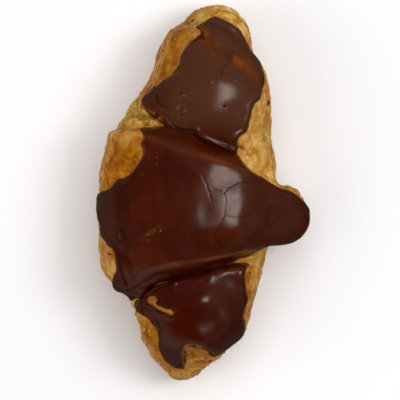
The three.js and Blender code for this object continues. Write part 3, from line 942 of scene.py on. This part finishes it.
def make_scale():
    """A thin pointed plate one unit long and wide, with one long border lifted and bent."""
    shape = bmesh.new()
    sides = []
    for drop in (0, SCALE_THICKNESS):
        side = []
        for u in np.linspace(-0.5, 0.5, SCALE_ROWS):
            half_width = 0.5 * math.sqrt(1 - (1.9 * abs(u)) ** 2)  # widest in the middle
            for v in np.linspace(-1, 1, SCALE_COLUMNS):
                lift = 0.11 * (1 - v) ** 1.5 - 0.06 - 0.4 * u * u  # one long border up, both ends down
                side.append(shape.verts.new((u, v * half_width, lift - drop)))
        sides.append(side)
    top, under = sides
    for row in range(SCALE_ROWS - 1):
        for column in range(SCALE_COLUMNS - 1):
            a = row * SCALE_COLUMNS + column
            quad = (a, a + SCALE_COLUMNS, a + SCALE_COLUMNS + 1, a + 1)
            shape.faces.new([top[n] for n in quad])
            shape.faces.new([under[n] for n in reversed(quad)])
    last_row, last_column = SCALE_ROWS - 1, SCALE_COLUMNS - 1
    border = [row * SCALE_COLUMNS for row in range(SCALE_ROWS)]
    border += [last_row * SCALE_COLUMNS + column for column in range(1, SCALE_COLUMNS)]
    border += [row * SCALE_COLUMNS + last_column for row in reversed(range(last_row))]
    border += list(reversed(range(1, last_column)))
    for a, b in zip(border, border[1:] + border[:1]):
        shape.faces.new((top[a], under[a], under[b], top[b]))
    bmesh.ops.recalc_face_normals(shape, faces=shape.faces)
    mesh = bpy.data.meshes.new("scale")
    shape.to_mesh(mesh)
    shape.free()
    return bpy.data.objects.new("scale", mesh)


# %% The tree that scatters scales
MOST_POINTS = 4e5  # for each square metre, before the spacing thins them
LEAST_WOBBLE, MOST_WOBBLE = (-0.22, -0.1, -0.5), (0.04, 0.1, 0.5)  # turns about a scale's own axes


def make_scatter_tree():
    """Scales scattered over a skin, along its sheets."""
    tree = bpy.data.node_groups.new("scattered_scales", "GeometryNodeTree")
    socket = tree.interface.new_socket
    socket("Skin", in_out="INPUT", socket_type="NodeSocketGeometry")
    for name, kind in (("Scale", "Object"), ("Finish", "Material"), ("Seed", "Int"), ("Spacing", "Float"),
                       ("Shortest", "Float"), ("Longest", "Float"), ("Width share", "Float")):
        socket(name, in_out="INPUT", socket_type="NodeSocket" + kind)
    socket("Scales", in_out="OUTPUT", socket_type="NodeSocketGeometry")
    given = tree.nodes.new("NodeGroupInput").outputs

    flaky = add(tree, "GeometryNodeInputNamedAttribute", {"Name": "flaky"}, data_type="FLOAT")
    points = add(tree, "GeometryNodeDistributePointsOnFaces", {
        "Mesh": given["Skin"], "Distance Min": given["Spacing"], "Density Max": MOST_POINTS,
        "Density Factor": flaky.outputs["Attribute"], "Seed": given["Seed"]}, distribute_method="POISSON")
    normal = points.outputs["Normal"]

    level = add(tree, "VectorMath", {0: (0, 0, 1), 1: normal}, operation="CROSS_PRODUCT").outputs["Vector"]
    upright = add(tree, "FunctionNodeAlignRotationToVector", {"Vector": normal}, axis="Z")
    turned = add(tree, "FunctionNodeAlignRotationToVector", {
        "Rotation": upright.outputs["Rotation"], "Vector": level}, axis="X", pivot_axis="Z")
    wobble = add(tree, "FunctionNodeRandomValue", {
        0: LEAST_WOBBLE, 1: MOST_WOBBLE, "Seed": given["Seed"]}, data_type="FLOAT_VECTOR")
    rotation = add(tree, "FunctionNodeRotateRotation", {
        "Rotation": turned.outputs["Rotation"], "Rotate By": wobble.outputs["Value"]}, rotation_space="LOCAL")

    length = add(tree, "FunctionNodeRandomValue", {
        2: given["Shortest"], 3: given["Longest"], "Seed": given["Seed"]}, data_type="FLOAT").outputs[1]
    width = maths(tree, "MULTIPLY", length, given["Width share"])
    size = add(tree, "CombineXYZ", {"X": length, "Y": width, "Z": width}).outputs["Vector"]
    scale = add(tree, "GeometryNodeObjectInfo", {"Object": given["Scale"]}).outputs["Geometry"]
    scattered = add(tree, "GeometryNodeInstanceOnPoints", {
        "Points": points.outputs["Points"], "Instance": scale, "Rotation": rotation.outputs["Rotation"],
        "Scale": size}).outputs["Instances"]
    real = add(tree, "GeometryNodeRealizeInstances", {"Geometry": scattered}).outputs["Geometry"]
    finished = add(tree, "GeometryNodeSetMaterial", {"Geometry": real, "Material": given["Finish"]})
    tree.links.new(finished.outputs["Geometry"], tree.nodes.new("NodeGroupOutput").inputs["Scales"])
    return tree


SCATTER_TREE = make_scatter_tree()


def scatter(name, skin_piece, settings):
    """A plain mesh of scales over a skin, made with the tree's inputs set by name."""
    piece = bpy.data.objects.new(name, skin_piece.data)
    bpy.context.scene.collection.objects.link(piece)
    modifier = piece.modifiers.new("scatter", "NODES")
    modifier.node_group = SCATTER_TREE
    for item in SCATTER_TREE.interface.items_tree:
        if item.name in settings:
            modifier[item.identifier] = settings[item.name]
    finish_modifiers(piece)
    print(f"{name}: {triangle_count(piece)} triangles")
    return piece


# %% [markdown]
# ## Finishes
# The three finishes are built from nodes. Patterns lie in the object's own coordinates, turned into
# millimetres, so that a size in the nodes is a size on the croissant. The numbers written on the
# points of each mesh say where dough is brushed, pale, torn or stained, where its seams get painted
# shade, how deep chocolate lies over it and where its cracks get painted shade, so colour and
# roughness follow the shape. A helper group makes the uneven tone that all the finishes share.


# %% Reading a piece's numbers
def written(tree, name):
    """A number that was written on the mesh's points."""
    return add(tree, "Attribute", attribute_name=name).outputs["Fac"]


def new_finish(name):
    """An empty material: its tree, its shader and its coordinates in millimetres."""
    material = bpy.data.materials.new(name)
    material.use_nodes = True
    tree = material.node_tree
    place = add(tree, "TexCoord").outputs["Object"]
    scale = add(tree, "VectorMath", {0: place, 3: 1 / MM}, operation="SCALE")
    return material, tree, tree.nodes["Principled BSDF"], scale.outputs["Vector"]


def surface(tree, shader, colour, rough, height, strength, distance):
    """Links a colour, a roughness, and a height as bumps of a distance in millimetres."""
    tree.links.new(colour, shader.inputs["Base Color"])
    tree.links.new(rough, shader.inputs["Roughness"])
    bump = add(tree, "Bump", {"Height": height, "Strength": strength, "Distance": distance * MM})
    tree.links.new(bump.outputs["Normal"], shader.inputs["Normal"])


# %% The shared tone group
def make_tone_group():
    """Uneven tone: soft noise of a real size, pulled apart by a contrast."""
    group = bpy.data.node_groups.new("uneven_tone", "ShaderNodeTree")
    socket = group.interface.new_socket
    socket("Place", in_out="INPUT", socket_type="NodeSocketVector")
    size = socket("Size in mm", in_out="INPUT", socket_type="NodeSocketFloat")
    detail = socket("Detail", in_out="INPUT", socket_type="NodeSocketFloat")
    contrast = socket("Contrast", in_out="INPUT", socket_type="NodeSocketFloat")
    size.default_value, detail.default_value, contrast.default_value = 5.0, 3.0, 1.0
    socket("Tone", in_out="OUTPUT", socket_type="NodeSocketFloat")
    given = group.nodes.new("NodeGroupInput").outputs
    noise = add(group, "TexNoise", {
        "Vector": given["Place"], "Detail": given["Detail"],
        "Scale": maths(group, "DIVIDE", 1.0, given["Size in mm"]), "Distortion": 0.3})
    centred = maths(group, "SUBTRACT", noise.outputs["Fac"], 0.5)
    result = maths(group, "MULTIPLY_ADD", centred, given["Contrast"], 0.5)
    group.links.new(result, group.nodes.new("NodeGroupOutput").inputs["Tone"])
    return group


TONE_GROUP = make_tone_group()


def tone(tree, place, size, detail=3.0, contrast=1.0):
    """Uneven tone around 0.5, in lumps of a size in millimetres."""
    made = add(tree, "Group", node_tree=TONE_GROUP)
    tree.links.new(place, made.inputs["Place"])
    for name, value in (("Size in mm", size), ("Detail", detail), ("Contrast", contrast)):
        made.inputs[name].default_value = value
    return made.outputs["Tone"]


# %% Baked dough
def add_veins(tree, place, cell, width):
    """The thin pale folds of a shrivelled skin: the borders of stretched, crooked cells."""
    nudge = add(tree, "TexNoise", {"Vector": place, "Scale": 1.1 / cell, "Detail": 3.0})
    nudge = add(tree, "VectorMath", {0: nudge.outputs["Color"], 1: (0.5, 0.5, 0.5)}, operation="SUBTRACT")
    moved = add(tree, "VectorMath", {0: nudge.outputs["Vector"], 1: (1.5 * cell,) * 3, 2: place},
                operation="MULTIPLY_ADD")
    stretched = add(tree, "Mapping", {"Vector": moved.outputs["Vector"], "Scale": (1.0, 0.5, 1.0)})
    cells = add(tree, "TexVoronoi", {"Vector": stretched.outputs["Vector"], "Scale": 1 / cell},
                feature="DISTANCE_TO_EDGE")
    away = maths(tree, "MULTIPLY", cells.outputs["Distance"], cell)
    return mask(tree, maths(tree, "DIVIDE", away, width), 1.0, 0.15)


def make_baked_dough():
    """Egg-washed tops, layered sides, pale folds and yellow crumb, in one material."""
    material, tree, shader, place = new_finish("baked_dough")
    patches, speckle = tone(tree, place, 5, 2, 1.6), tone(tree, place, 1.5, 4, 1.6)
    fine = tone(tree, place, 0.5, 3, 1.4)
    side = maths(tree, "SUBTRACT", 1.0, written(tree, "brushed"))
    large = add_veins(tree, place, 7.0, maths(tree, "MULTIPLY_ADD", side, 0.2, 0.26))
    middle = add_veins(tree, place, 3.6, maths(tree, "MULTIPLY_ADD", side, 0.25, 0.20))
    small = add_veins(tree, place, 1.9, maths(tree, "MULTIPLY_ADD", side, 0.2, 0.13))
    some = mask(tree, maths(tree, "MULTIPLY_ADD", side, 0.3, patches), 0.38, 0.62)
    few = mask(tree, maths(tree, "MULTIPLY_ADD", side, 0.6, speckle), 0.75, 1.0)
    veins = maths(tree, "MAXIMUM", maths(tree, "MULTIPLY", middle, some), maths(tree, "MULTIPLY", small, few))
    veins = maths(tree, "MAXIMUM", maths(tree, "MULTIPLY", large, 0.8), veins)
    veins = maths(tree, "MAXIMUM", veins, maths(tree, "MULTIPLY", written(tree, "wrinkle"), 0.4))

    mixed = maths(tree, "MULTIPLY_ADD", patches, 0.85, maths(tree, "MULTIPLY", speckle, 0.15))
    amber = ramp(tree, mixed, (0.26, 0.210, 0.048, 0.0), (0.44, 0.285, 0.084, 0.0),
                 (0.60, 0.360, 0.122, 0.0), (0.80, 0.480, 0.200, 0.008))
    amber = blend(tree, veins, amber, (0.62, 0.310, 0.010, 1), most=0.5)

    split = add(tree, "SeparateXYZ", {0: place})
    along = add(tree, "CombineXYZ", {
        "X": maths(tree, "MULTIPLY", written(tree, "sheet"), 1.1),
        "Y": maths(tree, "MULTIPLY", split.outputs["Y"], 0.24),
        "Z": maths(tree, "MULTIPLY", split.outputs["X"], 0.24)})
    streaks = tone(tree, along.outputs["Vector"], 1.0, 3, 1.7)
    streaks = maths(tree, "MULTIPLY_ADD", streaks, 0.66, maths(tree, "MULTIPLY", speckle, 0.14))
    streaks = maths(tree, "MULTIPLY_ADD", patches, 0.2, streaks)
    layered = ramp(tree, streaks, (0.30, 0.210, 0.055, 0.002), (0.44, 0.320, 0.100, 0.005),
                   (0.56, 0.430, 0.172, 0.027), (0.72, 0.670, 0.370, 0.120))
    layered = blend(tree, veins, layered, (0.64, 0.350, 0.120, 1), most=0.65)
    # painted shade in the grooves between the sheets on the sides
    groove_shade = maths(tree, "MULTIPLY", mask(tree, written(tree, "leaf"), 0.92, 0.45), side)
    layered = blend(tree, groove_shade, layered, (0.220, 0.056, 0.002, 1), most=0.62)
    colour = blend(tree, written(tree, "brushed"), layered, amber)

    # pale dough, and on the end cap partly painted light
    pale = ramp(tree, patches, (0.3, 0.500, 0.180, 0.010), (0.5, 0.665, 0.375, 0.075),
                (0.72, 0.800, 0.540, 0.160))
    colour = blend(tree, written(tree, "pale"), colour, pale, most=0.9)
    grain = tone(tree, place, 1.0, 4, 2.2)
    # the crumb's grain, and painted shade where its holes sink in
    crumb_grain_and_hole_shade = maths(tree, "MULTIPLY_ADD", written(tree, "lump"), -0.16, maths(tree, "MULTIPLY", grain, 0.6))
    crumb = ramp(tree, maths(tree, "ADD", crumb_grain_and_hole_shade, 0.2), (0.1, 0.200, 0.080, 0.003),
                 (0.4, 0.440, 0.220, 0.022), (0.62, 0.580, 0.330, 0.055), (0.85, 0.720, 0.480, 0.140))
    colour = blend(tree, written(tree, "torn"), colour, crumb)
    toasted = mask(tree, split.outputs["Z"], 4.0, 0.5)
    colour = blend(tree, toasted, colour, (0.20, 0.075, 0.015, 1), most=0.75)
    # real chocolate stain under the coats and on the crumbs, and painted shade in the seams' folds
    seam_shade_and_stain_colour = ramp(tree, written(tree, "dark"), (0.36, 0.330, 0.160, 0.050), (0.6, 0.200, 0.056, 0.004),
                 (1.0, 0.042, 0.008, 0.001))
    colour = blend(tree, mask(tree, written(tree, "dark"), 0.0, 0.75), colour, seam_shade_and_stain_colour)

    gloss = maths(tree, "MAXIMUM", written(tree, "brushed"), written(tree, "pale"))
    gloss = maths(tree, "MULTIPLY", gloss, -0.32)
    rough = maths(tree, "ADD", maths(tree, "MULTIPLY_ADD", fine, 0.2, 0.50), gloss)
    shader.inputs["Specular IOR Level"].default_value = 0.11
    tree.links.new(written(tree, "wet"), shader.inputs["Coat Weight"])
    shader.inputs["Coat Roughness"].default_value = 0.07
    height = maths(tree, "MULTIPLY_ADD", fine, 0.2, maths(tree, "MULTIPLY", speckle, 0.3))
    height = maths(tree, "MULTIPLY_ADD", maths(tree, "MULTIPLY", grain, 1.2), written(tree, "torn"), height)
    height = maths(tree, "MULTIPLY_ADD", veins, 0.6, height)
    height = maths(tree, "MULTIPLY_ADD", maths(tree, "MULTIPLY", streaks, 0.4), side, height)
    surface(tree, shader, colour, rough, height, strength=0.8, distance=0.5)
    return material


# %% Set chocolate
def make_set_chocolate():
    """Dark chocolate, satin where it is thick and orange-brown where dough shines through."""
    material, tree, shader, place = new_finish("set_chocolate")
    uneven = maths(tree, "MULTIPLY", maths(tree, "SUBTRACT", tone(tree, place, 8, 2, 1.2), 0.5), 0.22)
    cover = maths(tree, "ADD", uneven, written(tree, "cover"))
    brown = ramp(tree, maths(tree, "DIVIDE", cover, 1.5), (0.0, 0.240, 0.080, 0.008),
                 (0.14, 0.140, 0.033, 0.004), (0.32, 0.090, 0.0165, 0.0030),
                 (0.50, 0.053, 0.0066, 0.0007), (0.8, 0.043, 0.0045, 0.0005))
    warm = mask(tree, tone(tree, place, 14, 1.5, 1.6), 0.45, 0.75)
    brown = blend(tree, warm, brown, (0.064, 0.0080, 0.0010, 1), most=0.6)

    split = add(tree, "SeparateXYZ", {0: place})
    x, y = split.outputs["X"], split.outputs["Y"]
    # painted sheen: a grey-brown sheen painted on the upper coat, mostly left out on its left part
    painted_sheen = maths(tree, "MULTIPLY", mask(tree, y, 20, 32), mask(tree, cover, 0.25, 0.7))
    left_part = mask(tree, x, -10, -22)
    painted_sheen = maths(tree, "MULTIPLY", painted_sheen, maths(tree, "MULTIPLY_ADD", left_part, -0.7, 1.0))
    brown = blend(tree, painted_sheen, brown, (0.074, 0.0240, 0.0105, 1), most=0.75)
    # painted shade: the thick lower coat made deeper and redder, as if it caught no sheen
    lower = maths(tree, "MULTIPLY", mask(tree, y, -31, -37), mask(tree, cover, 0.4, 0.8))
    brown = blend(tree, lower, brown, (0.038, 0.0022, 0.0, 1), most=0.75)

    # painted shade: stretched dark bands at random places and one down the left side at x = -34, like dark
    # parts of the room mirrored in the chocolate
    bands = add(tree, "Mapping", {"Vector": place, "Scale": (1.0, 0.3, 1.0)})
    deep = mask(tree, tone(tree, bands.outputs["Vector"], 11, 2, 1.6), 0.52, 0.78)
    deep = maths(tree, "MULTIPLY", deep, maths(tree, "SUBTRACT", 1.0, painted_sheen))
    run = mask(tree, maths(tree, "ABSOLUTE", maths(tree, "ADD", x, 34.0)), 5.0, 1.5)
    run = maths(tree, "MULTIPLY", run, mask(tree, y, 9.0, 1.0))
    brown = blend(tree, maths(tree, "MAXIMUM", deep, run), brown, (0.030, 0.0026, 0.0003, 1), most=0.65)
    # painted shade along the hairline cracks
    brown = blend(tree, written(tree, "crack"), brown, (0.014, 0.0020, 0.0005, 1), most=0.8)

    cells = add(tree, "TexVoronoi", {"Vector": place, "Scale": 0.21, "Randomness": 1.0})
    dots = mask(tree, cells.outputs["Distance"], 0.085, 0.03)
    picked = mask(tree, add(tree, "SeparateColor", {0: cells.outputs["Color"]}).outputs[0], 0.45, 0.6)
    specks = maths(tree, "MULTIPLY", dots, picked)
    brown = blend(tree, specks, brown, (0.16, 0.08, 0.045, 1), most=0.6)

    rough = maths(tree, "MULTIPLY_ADD", tone(tree, place, 4, 4, 1.2), 0.16, 0.195)
    shader.inputs["Specular IOR Level"].default_value = 0.38
    shader.inputs["Specular Tint"].default_value = (1.0, 0.91, 0.84, 1)
    height = maths(tree, "ADD", tone(tree, place, 2.2, 3, 0.5), maths(tree, "MULTIPLY", specks, 0.5))
    surface(tree, shader, brown, rough, height, strength=0.35, distance=0.25)
    return material


# %% Dry flakes
def make_dry_flake():
    """Thin dry dough: pale and matt."""
    material, tree, shader, place = new_finish("dry_flake")
    colour = ramp(tree, tone(tree, place, 2.5, 4, 1.8), (0.3, 0.350, 0.135, 0.015),
                  (0.5, 0.480, 0.220, 0.045), (0.7, 0.620, 0.350, 0.110))
    fine = tone(tree, place, 0.4, 3, 1.5)
    rough = maths(tree, "MULTIPLY_ADD", fine, 0.25, 0.4)
    shader.inputs["Specular IOR Level"].default_value = 0.12
    surface(tree, shader, colour, rough, fine, strength=0.5, distance=0.2)
    return material


# %% Giving each piece its finish
baked_dough, set_chocolate, dry_flake = make_baked_dough(), make_set_chocolate(), make_dry_flake()
for finish in (baked_dough, set_chocolate, dry_flake):
    print(f"{finish.name}: {len(finish.node_tree.nodes)} nodes")
flakes = scatter("loose_flakes", pastry, {
    "Scale": make_scale(), "Finish": dry_flake, "Seed": 7, "Spacing": 2.9 * MM, "Shortest": 1.8 * MM,
    "Longest": 4.2 * MM, "Width share": 0.36})
pastry.data.materials.append(baked_dough)
coats = [upper_coat, middle_coat, lower_coat]
for coat in coats:
    coat.data.materials.append(set_chocolate)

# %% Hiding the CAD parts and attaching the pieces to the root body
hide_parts("pastry", "icing_upper", "icing_middle", "icing_lower")
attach(pastry, "root")
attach(flakes, "root")
for coat in coats:
    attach(coat, "root")
